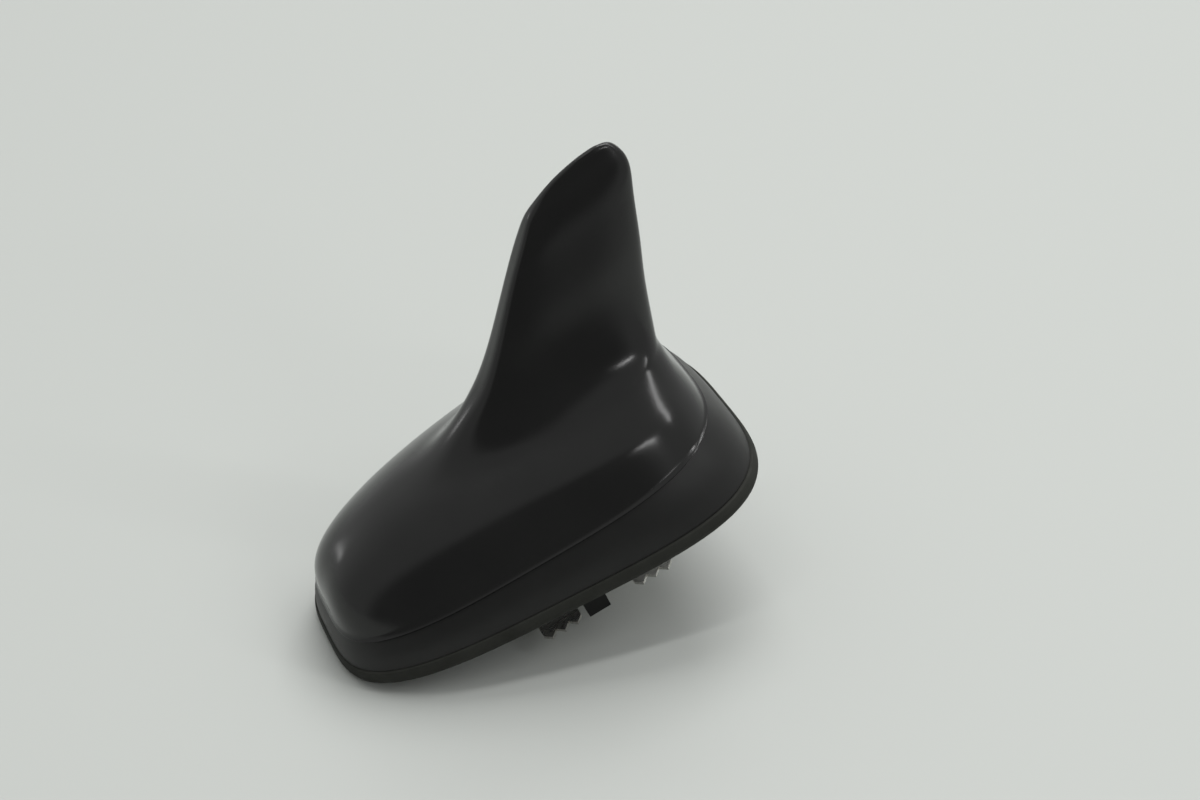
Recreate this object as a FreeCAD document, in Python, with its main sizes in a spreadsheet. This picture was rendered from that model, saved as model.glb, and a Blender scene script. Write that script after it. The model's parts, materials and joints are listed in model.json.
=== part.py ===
import FreeCAD, Part
import math
import os
from collections import namedtuple

import Sketcher

# Roof antenna with a raked fin. Millimetres. The origin is on the roof's outer skin, on the
# axis of the hole that the tower goes through. +X runs to the nose, +Y to the left, +Z up.

doc = FreeCAD.newDocument("roof_antenna")
dims = doc.addObject("Spreadsheet::Sheet", "dims")

SIZES = {
    # outline of the gasket on the roof
    "base_nose": 55.4,
    "base_tail": 49.3,
    "base_half": 31.0,
    "base_nose_square": 3.6,
    "base_tail_square": 3.5,
    "base_taper": 0.17,
    # rubber gasket
    "gasket_height": 3.7,
    "gasket_ring": 13.5,
    "gasket_crown": 1.6,
    "gasket_draft": 0.5,
    "gasket_pip_radius": 0.9,
    "gasket_pip_reach": 1.0,
    "gasket_pip_tail": 42.0,
    # skirt between the gasket and the seam
    "skirt_step": 0.9,
    "skirt_wall": 2.4,
    "skirt_waist": 0.5,
    "skirt_bulge": 0.5,
    "groove_height": 0.3,
    "groove_depth": 0.9,
    # moulded cover
    "cover_wall": 2.2,
    "cover_boss_radius": 3.2,
    "cover_boss_nose": 41.0,
    "cover_boss_nose_half": 9.0,
    "cover_boss_tail": 30.0,
    "cover_boss_tail_half": 18.4,
    # screws that hold the cover to the plate
    "cover_screw_radius": 1.4,
    "cover_screw_length": 9.0,
    "cover_screw_head_radius": 2.6,
    "cover_screw_head_height": 1.8,
    "screw_gap": 0.05,
    # die-cast plate and tower
    "plate_thick": 3.5,
    "seal_width": 2.0,
    "seal_height": 2.5,
    "seat_gap": 0.15,
    "standoff_radius": 2.4,
    "standoff_height": 3.5,
    "tower_nose": 14.0,
    "tower_tail": 12.4,
    "tower_half": 8.0,
    "tower_depth": 11.0,
    "tower_round": 2.0,
    "duct_wall": 2.2,
    "duct_length": 11.6,
    # clamp bolt
    "bolt_radius": 3.0,
    "bolt_shank": 11.0,
    "bolt_flange_radius": 6.0,
    "bolt_flange_height": 1.0,
    "bolt_head_radius": 5.4,
    "bolt_head_height": 2.0,
    # claw plate of spring steel
    "claw_thick": 0.8,
    "claw_inset": 5.8,
    "claw_bend": 11.0,
    "claw_waist": 9.2,
    "claw_lift": 2.2,
    "claw_nose": 13.7,
    "claw_tail": 19.3,
    "claw_arm": 9.6,
    "claw_window_gap": 0.4,
    "tooth_count": 3,
    "tooth_depth": 2.0,
    # plastic clips on the tower
    "clip_nose": 2.4,
    "clip_width": 5.4,
    "clip_leg": 1.8,
    "clip_top": 3.0,
    "clip_reach": 20.2,
    "clip_arm_rise": 2.6,
    "clip_drop": 3.6,
    "clip_foot": 2.2,
    # boards
    "board_nose": 34.0,
    "board_tail": 37.0,
    "board_half": 14.0,
    "board_thick": 1.6,
    "board_chamfer": 6.0,
    "board_screw_nose": 31.5,
    "board_screw_tail": 34.5,
    "board_screw_half": 11.0,
    "board_screw_radius": 1.1,
    "board_screw_length": 5.0,
    "board_screw_head_radius": 2.0,
    "board_screw_head_height": 1.4,
    "fin_board_thick": 1.2,
    "fin_board_room": 5.0,
    "radiator_thick": 0.3,
    "radiator_margin": 2.5,
    "header_tail": 24.0,
    "header_width": 2.4,
    "header_height": 2.5,
    "pin_count": 4,
    "pin_pitch": 2.54,
    "pin_radius": 0.32,
    "pin_stub": 1.2,
    # satellite patch
    "patch_side": 25.0,
    "patch_height": 4.0,
    "patch_tail": 3.0,
    "pad_height": 1.0,
    "patch_pin_radius": 0.5,
    "patch_pin_proud": 0.4,
    "patch_pin_gap": 0.1,
    # shielded amplifier
    "can_tail": 30.0,
    "can_length": 18.0,
    "can_side": 4.0,
    "can_width": 9.0,
    "can_height": 3.2,
    "can_wall": 0.3,
    "chip_side": 5.0,
    "chip_height": 1.2,
    "chip_pitch": 7.5,
    "chip_margin": 1.5,
    # aerial lead sockets in the tower
    "socket_recess": 1.5,
    "socket_gap": 0.2,
    "socket_bore_radius": 2.3,
    "socket_bore_depth": 8.0,
    "socket_pitch": 5.4,
    "shell_wall": 0.35,
    "contact_radius": 0.5,
    "contact_recess": 2.5,
}

# Sections of the cover from its rim to the fin's tip. Each lies in a plane through the nose
# line and the tail line: reach and rise of the two, half width, squareness of the rounding
# at each end, and how much narrower the nose end is than the middle.
COVER_PARTS = ("nose", "nose_rise", "tail", "tail_rise", "half", "nose_square", "tail_square", "taper")
COVER_SECTIONS = {
    "rim": (51.7, 10.0, 43.7, 17.0, 26.6, 3.6, 3.0, 0.17),
    "wall": (50.4, 15.2, 42.9, 20.4, 24.4, 3.4, 3.0, 0.19),
    "shoulder": (47.2, 20.2, 42.0, 23.6, 22.4, 2.9, 2.9, 0.21),
    "crown": (39.5, 25.0, 41.3, 26.4, 19.6, 2.6, 2.7, 0.25),
    "saddle": (29.0, 28.8, 40.8, 30.4, 14.6, 2.3, 2.5, 0.25),
    "root": (16.0, 32.0, 40.8, 32.8, 11.8, 2.3, 2.5, 0.22),
    "neck": (5.0, 38.0, 41.8, 37.0, 8.2, 2.5, 2.8, 0.10),
    "blade": (-2.0, 43.6, 43.7, 46.0, 5.9, 3.4, 3.2, 0.04),
    "middle": (-11.0, 54.8, 46.6, 57.5, 4.7, 3.8, 3.6, 0.08),
    "upper": (-18.8, 65.5, 49.5, 69.5, 3.8, 4.2, 4.0, 0.06),
    "knee": (-24.2, 72.4, 50.8, 75.6, 3.2, 4.2, 4.0, 0.05),
    "brow": (-26.4, 74.9, 50.6, 77.6, 2.6, 3.8, 3.8, 0.05),
    "edge": (-29.3, 77.0, 49.7, 79.7, 1.7, 3.4, 3.4, 0.05),
    "crest": (-34.5, 79.6, 48.2, 81.2, 1.0, 3.0, 3.0, 0.05),
    "top": (-40.0, 81.2, 46.0, 81.8, 0.5, 2.8, 2.8, 0.05),
}
CAVITY_TOP = "upper"
OUTLINE_POINTS = 28

Section = namedtuple("Section", COVER_PARTS)


def fill_sheet():
    values = dict(SIZES)
    for name, numbers in COVER_SECTIONS.items():
        for part, number in zip(COVER_PARTS, numbers):
            values[f"{name}_{part}"] = number
    for row, (alias, value) in enumerate(values.items(), start=1):
        dims.set(f"A{row}", alias)
        dims.set(f"B{row}", str(value))
        dims.setAlias(f"B{row}", alias)
    doc.recompute()


def size(alias):
    return float(getattr(dims, alias))


# Heights and places that several pieces share, as expressions on the sheet
PLATE_TOP = "(dims.gasket_height + dims.plate_thick)"
BOARD_BOTTOM = f"({PLATE_TOP} + dims.standoff_height)"
BOARD_TOP = f"({BOARD_BOTTOM} + dims.board_thick)"
DUCT_TAIL = "(-dims.tower_tail + dims.duct_wall)"
DUCT_NOSE = f"({DUCT_TAIL} + dims.duct_length)"
DUCT_HALF = "(dims.tower_half - dims.duct_wall)"
BOLT_X = f"(({DUCT_NOSE} + dims.tower_nose) / 2)"
CLAW_BOTTOM = "(-dims.tower_depth - dims.claw_thick)"
CLAW_TIP = "(dims.base_half - dims.claw_inset)"


def worked(text):
    return float(dims.evalExpression(text))


# Document objects whose sizes are bound to the sheet


def place(item, x, y, z):
    for axis, text in zip("xyz", (x, y, z)):
        item.setExpression(f"Placement.Base.{axis}", text)
    return item


def box(label, length, width, height, x, y, z):
    item = doc.addObject("Part::Box", label)
    for name, text in (("Length", length), ("Width", width), ("Height", height)):
        item.setExpression(name, text)
    return place(item, x, y, z)


def cylinder(label, radius, height, x, y, z):
    item = doc.addObject("Part::Cylinder", label)
    item.setExpression("Radius", radius)
    item.setExpression("Height", height)
    return place(item, x, y, z)


def hexagon(label, radius, height, x, y, z):
    item = doc.addObject("Part::Prism", label)
    item.Polygon = 6
    item.setExpression("Circumradius", radius)
    item.setExpression("Height", height)
    return place(item, x, y, z)


def fuse(label, items):
    item = doc.addObject("Part::MultiFuse", label)
    item.Shapes = items
    return item


def cut(label, base, tools):
    item = doc.addObject("Part::Cut", label)
    item.Base = base
    item.Tool = tools[0] if len(tools) == 1 else fuse(f"{label}_tools", tools)
    return item


def group(label, items):
    item = doc.addObject("Part::Compound", label)
    item.Links = items
    return item


def shaped(label, shape):
    item = doc.addObject("Part::Feature", label)
    item.Shape = shape
    return item


def padded(label, plane, offset, corners, thick):
    """A body padded from a sketch whose corners are expressions on the sheet."""
    body = doc.addObject("PartDesign::Body", label)
    sketch = body.newObject("Sketcher::SketchObject", f"{label}_sketch")
    origin_plane = next(f for f in body.Origin.OriginFeatures if f.Role == plane)
    sketch.AttachmentSupport = [(origin_plane, "")]
    sketch.MapMode = "FlatFace"
    sketch.setExpression("AttachmentOffset.Base.z", offset)
    points = [FreeCAD.Vector(worked(u), worked(v), 0) for u, v in corners]
    count = len(points)
    for i in range(count):
        sketch.addGeometry(Part.LineSegment(points[i], points[(i + 1) % count]), False)
    for i in range(count):
        sketch.addConstraint(Sketcher.Constraint("Coincident", i, 2, (i + 1) % count, 1))
    for i, corner in enumerate(corners):
        for kind, text, value in zip(("DistanceX", "DistanceY"), corner, points[i]):
            index = sketch.addConstraint(Sketcher.Constraint(kind, i, 1, value))
            sketch.setExpression(f"Constraints[{index}]", text)
    pad = body.newObject("PartDesign::Pad", f"{label}_pad")
    pad.Profile = sketch
    pad.setExpression("Length", thick)
    doc.recompute()
    return body


# Outlines of the moulded shells


def cover_section(name):
    return Section(*(size(f"{name}_{part}") for part in COVER_PARTS))


def base_section(height):
    return Section(
        size("base_nose"),
        height,
        size("base_tail"),
        height,
        size("base_half"),
        size("base_nose_square"),
        size("base_tail_square"),
        size("base_taper"),
    )


def inset(section, by, drop=0.0):
    """The section drawn in by a width within its own leaning plane, then lowered."""
    lean = (section.nose_rise - section.tail_rise) / (section.nose + section.tail)
    return section._replace(
        nose=section.nose - by,
        tail=section.tail - by,
        half=section.half - by,
        nose_rise=section.nose_rise - lean * by - drop,
        tail_rise=section.tail_rise + lean * by - drop,
    )


def between(a, b, share):
    return Section(*(p + (q - p) * share for p, q in zip(a, b)))


def outline(section):
    """A closed smooth wire: half a superellipse to the nose and half to the tail."""
    middle = (section.nose - section.tail) / 2
    reach = (section.nose + section.tail) / 2
    lean = (section.nose_rise - section.tail_rise) / (2 * reach)
    points = []
    for i in range(OUTLINE_POINTS):
        angle = (i + 0.5) / OUTLINE_POINTS * 2 * math.pi
        along, across = math.cos(angle), math.sin(angle)
        power = 2 / (section.nose_square if along > 0 else section.tail_square)
        u = math.copysign(abs(along) ** power, along)
        v = math.copysign(abs(across) ** power, across)
        points.append(FreeCAD.Vector(
            middle + reach * u,
            section.half * v * (1 - section.taper * u),
            (section.nose_rise + section.tail_rise) / 2 + lean * reach * u,
        ))
    curve = Part.BSplineCurve()
    curve.interpolate(Points=points, PeriodicFlag=True)
    return Part.Wire([curve.toShape()])


def loft(sections):
    return Part.makeLoft([outline(s) for s in sections], True, False)


def filled(sections):
    """One more section between each two, at the middle of a cubic with the neighbours' slope."""
    along = [0.0]
    for low, high in zip(sections, sections[1:]):
        along.append(along[-1] + math.dist(low, high))
    last = len(sections) - 1
    slopes = []
    for i in range(last + 1):
        low, high = max(i - 1, 0), min(i + 1, last)
        run = along[high] - along[low]
        slopes.append([(q - p) / run for p, q in zip(sections[low], sections[high])])
    done = [sections[0]]
    for i in range(last):
        bow = (along[i + 1] - along[i]) / 8
        middle = between(sections[i], sections[i + 1], 0.5)
        done.append(Section(*(
            m + bow * (a - b) for m, a, b in zip(middle, slopes[i], slopes[i + 1]))))
        done.append(sections[i + 1])
    return done


def prism(section, height):
    return Part.Face(outline(section)).extrude(FreeCAD.Vector(0, 0, height))


# Gasket: a rubber ring with a bowed edge and a small moulding pip at the tail


def make_gasket():
    height = size("gasket_height")
    draft = size("gasket_draft")
    body = shaped("gasket_body", loft([
        inset(base_section(0.0), draft),
        base_section(size("gasket_crown")),
        inset(base_section(height), draft),
    ]))
    hole = shaped("gasket_hole", prism(inset(base_section(-height), size("gasket_ring")), 3 * height))
    pip_y = -base_edge(-size("gasket_pip_tail"))
    pip = doc.addObject("Part::Cylinder", "gasket_pip")
    pip.setExpression("Radius", "dims.gasket_pip_radius")
    pip.setExpression("Height", "2 * dims.gasket_pip_reach")
    turn = FreeCAD.Rotation(FreeCAD.Vector(1, 0, 0), 90)
    spot = FreeCAD.Vector(
        -size("gasket_pip_tail"), pip_y + size("gasket_pip_reach"), size("gasket_crown"))
    pip.Placement = FreeCAD.Placement(spot, turn)
    return cut("roof_gasket", fuse("gasket_outside", [body, pip]), [hole])


def base_edge(x):
    """Half width of the gasket's widest outline at x."""
    section = base_section(0.0)
    middle = (section.nose - section.tail) / 2
    reach = (section.nose + section.tail) / 2
    u = (x - middle) / reach
    square = section.nose_square if u > 0 else section.tail_square
    return section.half * (1 - abs(u) ** square) ** (1 / square) * (1 - section.taper * u)


# Skirt: a drafted, slightly bowed ring from the gasket to the sloping seam


def skirt_foot():
    return inset(base_section(size("gasket_height")), size("skirt_step"))


def skirt_rim():
    """The seam: the cover's rim, lower by the groove."""
    return inset(cover_section("rim"), 0.0, size("groove_height"))


def make_skirt():
    foot, rim = skirt_foot(), skirt_rim()
    waist = inset(between(foot, rim, size("skirt_waist")), -size("skirt_bulge"))
    wall = size("skirt_wall")
    height = size("gasket_height")
    outside = shaped("skirt_outside", loft([foot, waist, rim]))
    inner = [inset(s, wall) for s in (foot, waist, rim)]
    hollow = shaped("skirt_hollow", loft(inner))
    mouth = shaped("skirt_mouth", prism(inset(rim, wall, height), 2 * height))
    return cut("base_skirt", outside, [hollow, mouth])


# Cover: one moulding, lofted from rim to tip, hollow up to the top of the fin


def cover_skin():
    return filled([cover_section(name) for name in COVER_SECTIONS])


def cavity_sections():
    """Each section moved inwards by the wall, square to the flank at that height."""
    skin = cover_skin()
    top = skin.index(cover_section(CAVITY_TOP))
    wall = size("cover_wall")
    moved = []
    for i in range(top + 1):
        below, above = skin[max(i - 1, 0)], skin[i + 1]
        rise = (above.nose_rise + above.tail_rise - below.nose_rise - below.tail_rise) / 2
        narrowing = below.half - above.half
        slope = math.hypot(rise, narrowing)
        moved.append(inset(skin[i], wall * rise / slope, wall * narrowing / slope))
    return moved


def make_cover():
    seam = skirt_rim()
    groove = size("groove_height")
    outside = loft(cover_skin())
    neck = prism(inset(seam, size("groove_depth")), 2 * groove)
    sections = cavity_sections()
    depth = seam.tail_rise
    cavity = loft(sections).fuse(prism(inset(sections[0], 0.0, depth), depth))
    whole = outside.fuse(neck).cut(cavity)
    room = outside.fuse(prism(inset(seam, size("cover_wall"), depth), depth + 4 * groove))
    for x, y in cover_screw_places():
        foot = FreeCAD.Vector(worked(x), worked(y), worked(PLATE_TOP))
        post = Part.makeCylinder(size("cover_boss_radius"), size("crown_tail_rise"), foot)
        hole = Part.makeCylinder(
            size("cover_screw_radius") + size("screw_gap"), size("cover_screw_length"), foot)
        whole = whole.fuse(post.common(room)).cut(hole)
    return shaped("fin_cover", whole.removeSplitter())


def cover_screw_places():
    return [
        (x, f"{side} * {y}")
        for x, y in (
            ("dims.cover_boss_nose", "dims.cover_boss_nose_half"),
            ("-dims.cover_boss_tail", "dims.cover_boss_tail_half"),
        )
        for side in (1, -1)
    ]


# Plate and tower


def plate_section():
    """The plate's edge: inside the seal, which lies inside the skirt's leaning wall."""
    return inset(seal_section(), size("seal_width") + size("seat_gap"))


def seal_section():
    foot, rim = skirt_foot(), skirt_rim()
    share = size("seal_height") / (rim.nose_rise - foot.nose_rise)
    leaned = between(foot, rim, share)._replace(nose_rise=foot.nose_rise, tail_rise=foot.tail_rise)
    return inset(leaned, size("skirt_wall") + size("seat_gap"))


def make_seal():
    ring = shaped("seal_ring", prism(seal_section(), size("seal_height")))
    hole = shaped("seal_hole", prism(inset(seal_section(), size("seal_width")), size("seal_height")))
    return cut("inner_seal", ring, [hole])


def board_screw_places():
    return [
        (x, f"{side} * dims.board_screw_half")
        for x in ("dims.board_screw_nose", "-dims.board_screw_tail")
        for side in (1, -1)
    ]


def make_chassis():
    plate = shaped("plate_body", prism(plate_section(), size("plate_thick")))
    block = box(
        "tower_block",
        "dims.tower_nose + dims.tower_tail",
        "2 * dims.tower_half",
        "dims.tower_depth + dims.gasket_height + dims.plate_thick / 2",
        "-dims.tower_tail",
        "-dims.tower_half",
        "-dims.tower_depth",
    )
    doc.recompute()
    tower = doc.addObject("Part::Fillet", "tower")
    tower.Base = block
    upright = [
        i for i, edge in enumerate(block.Shape.Edges, start=1)
        if abs(edge.tangentAt(edge.FirstParameter).z) > 0.9
    ]
    tower.Edges = [(i, size("tower_round"), size("tower_round")) for i in upright]
    standoffs = [
        cylinder(f"standoff_{i}", "dims.standoff_radius", "dims.standoff_height", x, y, PLATE_TOP)
        for i, (x, y) in enumerate(board_screw_places())
    ]
    casting = fuse("casting", [plate, tower] + standoffs)
    tools = [
        box(
            "duct",
            "dims.duct_length",
            f"2 * {DUCT_HALF}",
            f"dims.tower_depth + {PLATE_TOP}",
            DUCT_TAIL,
            f"-{DUCT_HALF}",
            "-dims.tower_depth",
        ),
        cylinder(
            "bolt_hole",
            "dims.bolt_radius + dims.screw_gap",
            "dims.bolt_shank",
            BOLT_X,
            "0",
            "-dims.tower_depth",
        ),
    ]
    for i, (x, y) in enumerate(board_screw_places()):
        tools.append(cylinder(
            f"standoff_hole_{i}",
            "dims.board_screw_radius + dims.screw_gap",
            "dims.board_screw_length",
            x,
            y,
            f"{BOARD_TOP} - dims.board_screw_length",
        ))
    for i, (x, y) in enumerate(cover_screw_places()):
        tools.append(cylinder(
            f"cover_screw_hole_{i}",
            "dims.cover_screw_radius + dims.screw_gap",
            "dims.plate_thick",
            x,
            y,
            "dims.gasket_height",
        ))
        tools.append(cylinder(
            f"cover_screw_sink_{i}",
            "dims.cover_screw_head_radius + dims.screw_gap",
            "dims.cover_screw_head_height",
            x,
            y,
            "dims.gasket_height",
        ))
    return cut("chassis_plate", casting, tools)


# Screws


def make_cover_screws():
    screws = []
    for i, (x, y) in enumerate(cover_screw_places()):
        head = cylinder(
            f"cover_screw_head_{i}",
            "dims.cover_screw_head_radius",
            "dims.cover_screw_head_height",
            x,
            y,
            "dims.gasket_height",
        )
        shank = cylinder(
            f"cover_screw_shank_{i}",
            "dims.cover_screw_radius",
            "dims.cover_screw_length",
            x,
            y,
            "dims.gasket_height",
        )
        screws.append(fuse(f"cover_screw_{i}", [head, shank]))
    return group("cover_screws", screws)


def make_board_screws():
    screws = []
    for i, (x, y) in enumerate(board_screw_places()):
        head = cylinder(
            f"board_screw_head_{i}",
            "dims.board_screw_head_radius",
            "dims.board_screw_head_height",
            x,
            y,
            BOARD_TOP,
        )
        shank = cylinder(
            f"board_screw_shank_{i}",
            "dims.board_screw_radius",
            "dims.board_screw_length",
            x,
            y,
            f"{BOARD_TOP} - dims.board_screw_length",
        )
        screws.append(fuse(f"board_screw_{i}", [head, shank]))
    return group("board_screws", screws)


def make_bolt():
    shank = cylinder("bolt_shank_rod", "dims.bolt_radius", "dims.bolt_shank + dims.claw_thick",
                     BOLT_X, "0", CLAW_BOTTOM)
    flange = cylinder("bolt_flange", "dims.bolt_flange_radius", "dims.bolt_flange_height",
                      BOLT_X, "0", f"{CLAW_BOTTOM} - dims.bolt_flange_height")
    head = hexagon("bolt_head", "dims.bolt_head_radius", "dims.bolt_head_height",
                   BOLT_X, "0", f"{CLAW_BOTTOM} - dims.bolt_flange_height - dims.bolt_head_height")
    return fuse("clamp_bolt", [shank, flange, head])


# Claw plate: a flat sheet under the tower with four arms that rise to toothed edges


def make_claw():
    nose, tail, arm = "dims.claw_nose", "-dims.claw_tail", "dims.claw_arm"
    waist, bend = "dims.claw_waist", "dims.claw_bend"
    right = [
        (tail, f"-{bend}"),
        (f"{tail} + {arm}", f"-{bend}"),
        (f"{tail} + {arm}", f"-{waist}"),
        (f"{nose} - {arm}", f"-{waist}"),
        (f"{nose} - {arm}", f"-{bend}"),
        (nose, f"-{bend}"),
    ]
    left = [(x, y[1:]) for x, y in reversed(right)]
    sheet = padded("claw_sheet", "XY_Plane", CLAW_BOTTOM, right + left, "dims.claw_thick")
    arms = [
        claw_arm(f"claw_arm_{end}_{side}", start, sign)
        for end, start in (("nose", f"({nose} - {arm})"), ("tail", f"({tail})"))
        for side, sign in (("left", ""), ("right", "-"))
    ]
    window = box(
        "claw_window",
        "dims.duct_length + 2 * dims.claw_window_gap",
        f"2 * ({DUCT_HALF} + dims.claw_window_gap)",
        "3 * dims.claw_thick",
        f"{DUCT_TAIL} - dims.claw_window_gap",
        f"-{DUCT_HALF} - dims.claw_window_gap",
        f"{CLAW_BOTTOM} - dims.claw_thick",
    )
    hole = cylinder("claw_hole", "dims.bolt_radius + dims.screw_gap", "3 * dims.claw_thick",
                    BOLT_X, "0", f"{CLAW_BOTTOM} - dims.claw_thick")
    return cut("claw_plate", fuse("claw_blank", [sheet] + arms), [window, hole])


def claw_arm(label, start, sign):
    """A strip that rises from the bend to its outer edge, which is cut into teeth."""
    bend, tip = f"{sign}dims.claw_bend", f"{sign}{CLAW_TIP}"
    raised = f"({CLAW_BOTTOM} + dims.claw_lift)"
    strip = padded(label, "YZ_Plane", start, [
        (bend, CLAW_BOTTOM),
        (tip, raised),
        (tip, f"{raised} + dims.claw_thick"),
        (bend, f"{CLAW_BOTTOM} + dims.claw_thick"),
    ], "dims.claw_arm")
    beyond = f"{sign}({CLAW_TIP} + dims.tooth_depth)"
    notches = [(start, beyond)]
    steps = 2 * int(size("tooth_count"))
    for i in range(steps + 1):
        edge = tip if i % 2 else f"{sign}({CLAW_TIP} - dims.tooth_depth)"
        notches.append((f"{start} + dims.claw_arm * {i} / {steps}", edge))
    notches.append((f"{start} + dims.claw_arm", beyond))
    cutter = padded(f"{label}_notches", "XY_Plane", CLAW_BOTTOM, notches,
                    "dims.claw_lift + 2 * dims.claw_thick")
    return cut(f"{label}_toothed", strip, [cutter])


# Clips: moulded legs on the tower's sides with a hooked foot


def make_clips():
    wall, reach = "dims.tower_half", "dims.clip_reach"
    leg, foot = "dims.clip_leg", "dims.clip_foot"
    top = "-dims.clip_top"
    arm = "(dims.clip_arm_rise - dims.tower_depth)"
    depth = "(-dims.tower_depth - dims.clip_drop)"
    profile = [
        (wall, top),
        (f"{wall} + {leg}", top),
        (f"{wall} + {leg}", arm),
        (reach, f"{arm} - {leg} / 2"),
        (reach, depth),
        (f"{reach} - {foot}", depth),
        (f"{reach} - 2 * {foot}", f"{arm} - 2 * {leg}"),
        (f"{wall} + {leg}", f"{arm} - {leg}"),
        (wall, f"{arm} - {leg} / 2"),
    ]
    clips = []
    for side, sign in (("left", ""), ("right", "-")):
        corners = [(f"{sign}({y})", z) for y, z in profile]
        clips.append(padded(f"clip_{side}", "YZ_Plane", "dims.clip_nose - dims.clip_width", corners,
                            "dims.clip_width"))
    return group("snap_clips", clips)


# Boards and what they carry


def header_pin_places():
    return [
        f"-dims.header_tail + dims.pin_pitch * {i + 0.5}"
        for i in range(int(size("pin_count")))
    ]


HEADER_Y = "(dims.fin_board_thick / 2)"
PIN_Y = f"({HEADER_Y} + dims.header_width / 2)"


def make_main_board():
    nose, tail = "dims.board_nose", "-dims.board_tail"
    half, chamfer = "dims.board_half", "dims.board_chamfer"
    blank = padded("board_blank", "XY_Plane", BOARD_BOTTOM, [
        (tail, f"-{half}"),
        (f"{nose} - {chamfer}", f"-{half}"),
        (nose, f"-{half} + {chamfer}"),
        (nose, f"{half} - {chamfer}"),
        (f"{nose} - {chamfer}", half),
        (tail, half),
    ], "dims.board_thick")
    holes = [
        cylinder(f"board_hole_{i}", "dims.board_screw_radius + dims.screw_gap", "3 * dims.board_thick",
                 x, y, f"{BOARD_BOTTOM} - dims.board_thick")
        for i, (x, y) in enumerate(board_screw_places())
    ]
    holes += [
        cylinder(f"pin_hole_{i}", "dims.pin_radius", "3 * dims.board_thick",
                 x, PIN_Y, f"{BOARD_BOTTOM} - dims.board_thick")
        for i, x in enumerate(header_pin_places())
    ]
    return cut("main_board", blank, holes)


FIN_NOSE = "(dims.blade_nose - dims.fin_board_room)"
FIN_BREAK = "(dims.blade_nose_rise - dims.fin_board_room)"
FIN_TOP = "(dims.upper_nose_rise - dims.fin_board_room)"
FIN_TOP_NOSE = "(dims.upper_nose - dims.fin_board_room)"
FIN_TOP_TAIL = "(dims.fin_board_room - dims.middle_tail)"
FIN_TAIL = "(dims.fin_board_room - dims.root_tail)"
FIN_TAIL_BREAK = "dims.root_tail_rise"


def make_fin_board():
    return padded("fin_board", "XZ_Plane", "-dims.fin_board_thick / 2", [
        (FIN_NOSE, BOARD_TOP),
        (FIN_NOSE, FIN_BREAK),
        (FIN_TOP_NOSE, FIN_TOP),
        (FIN_TOP_TAIL, FIN_TOP),
        (FIN_TAIL, FIN_TAIL_BREAK),
        (FIN_TAIL, BOARD_TOP),
    ], "dims.fin_board_thick")


def make_radiator():
    margin = "dims.radiator_margin"
    return padded("fin_radiator", "XZ_Plane", "-dims.fin_board_thick / 2 - dims.radiator_thick", [
        (f"{FIN_NOSE} - 2 * {margin}", f"{FIN_TAIL_BREAK} + {margin}"),
        (f"{FIN_TOP_NOSE} - {margin} / 2", f"{FIN_TOP} - {margin}"),
        (f"{FIN_TOP_TAIL} + 2 * {margin}", f"{FIN_TOP} - {margin}"),
        (f"{FIN_TAIL} + {margin}", f"{FIN_TAIL_BREAK} + {margin}"),
    ], "dims.radiator_thick")


def make_header():
    count = int(size("pin_count"))
    block = box("header_block", f"dims.pin_pitch * {count}", "dims.header_width", "dims.header_height",
                "-dims.header_tail", HEADER_Y, BOARD_TOP)
    holes = [
        cylinder(f"header_hole_{i}", "dims.pin_radius", "2 * dims.header_height", x, PIN_Y, BOARD_TOP)
        for i, x in enumerate(header_pin_places())
    ]
    return cut("fin_header", block, holes)


def make_header_pins():
    return group("header_pins", [
        cylinder(f"header_pin_{i}", "dims.pin_radius",
                 "2 * dims.pin_stub + dims.board_thick + dims.header_height",
                 x, PIN_Y, f"{BOARD_BOTTOM} - dims.pin_stub")
        for i, x in enumerate(header_pin_places())
    ])


PATCH_X = "(dims.patch_tail + dims.patch_side / 2)"


def make_pad():
    block = box("pad_block", "dims.patch_side", "dims.patch_side", "dims.pad_height",
                "dims.patch_tail", "-dims.patch_side / 2", BOARD_TOP)
    hole = cylinder("pad_hole", "dims.patch_pin_radius + dims.patch_pin_gap", "2 * dims.pad_height",
                    PATCH_X, "0", BOARD_TOP)
    return cut("patch_pad", block, [hole])


def make_patch():
    block = box("patch_block", "dims.patch_side", "dims.patch_side", "dims.patch_height",
                "dims.patch_tail", "-dims.patch_side / 2", f"{BOARD_TOP} + dims.pad_height")
    hole = cylinder("patch_hole", "dims.patch_pin_radius + dims.patch_pin_gap", "2 * dims.patch_height",
                    PATCH_X, "0", BOARD_TOP)
    return cut("patch_antenna", block, [hole])


def make_patch_pin():
    return cylinder("patch_pin", "dims.patch_pin_radius",
                    "dims.pad_height + dims.patch_height + dims.patch_pin_proud", PATCH_X, "0", BOARD_TOP)


def make_can():
    outer = box("can_outer", "dims.can_length", "dims.can_width", "dims.can_height",
                "-dims.can_tail", "dims.can_side", BOARD_TOP)
    inner = box("can_inner", "dims.can_length - 2 * dims.can_wall", "dims.can_width - 2 * dims.can_wall",
                "dims.can_height - dims.can_wall", "dims.can_wall - dims.can_tail",
                "dims.can_side + dims.can_wall", BOARD_TOP)
    return cut("shield_can", outer, [inner])


def make_chips():
    rows = (("dims.can_side + (dims.can_width - dims.chip_side) / 2", 2),
            ("-dims.can_side - dims.can_width / 2", 3))
    chips = []
    for row, (y, count) in enumerate(rows):
        for i in range(count):
            chips.append(box(f"chip_{row}_{i}", "dims.chip_side", "dims.chip_side", "dims.chip_height",
                             f"dims.chip_margin - dims.can_tail + dims.chip_pitch * {i}", y, BOARD_TOP))
    return group("signal_chips", chips)


# Sockets for the leads, reached from below through the tower

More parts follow.
